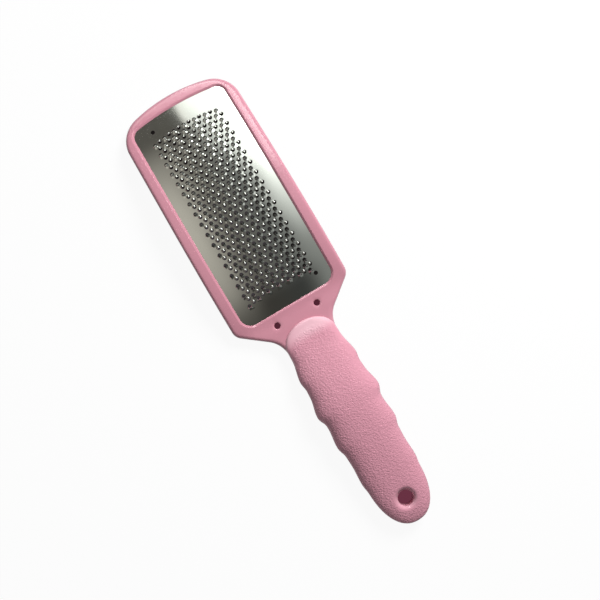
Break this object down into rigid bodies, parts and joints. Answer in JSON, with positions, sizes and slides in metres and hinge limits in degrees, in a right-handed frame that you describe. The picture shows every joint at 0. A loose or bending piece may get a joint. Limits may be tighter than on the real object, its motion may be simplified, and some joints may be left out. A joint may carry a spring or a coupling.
{
  "type": "foot file",
  "caption": "Hand-held foot file with an arched punched steel rasp plate in a moulded frame, and a soft textured grip with finger waves and a hanging hole.",
  "frame": {"origin": "middle of the footprint, on the table that the foot file lies on", "axes": "+Y from the grip to the tip of the head, +Z out of the rasp's filing face, away from the table, and +X to the right of someone who looks at the filing face with the head up"},
  "size_m": [0.0668, 0.253, 0.017],
  "materials": {
    "rasp_steel": "satin stainless sheet with a faint lengthwise grain, teeth punched up from below",
    "frame_plastic": "smooth hard plastic in dusty pink, semi-gloss",
    "grip_rubber": "soft rubber in lighter pink, with a fine leather-like grain"
  },
  "bodies": {
    "root": {"rasp_plate": "rasp_steel", "frame": "frame_plastic", "grip": "grip_rubber"}
  },
  "joints": []
}
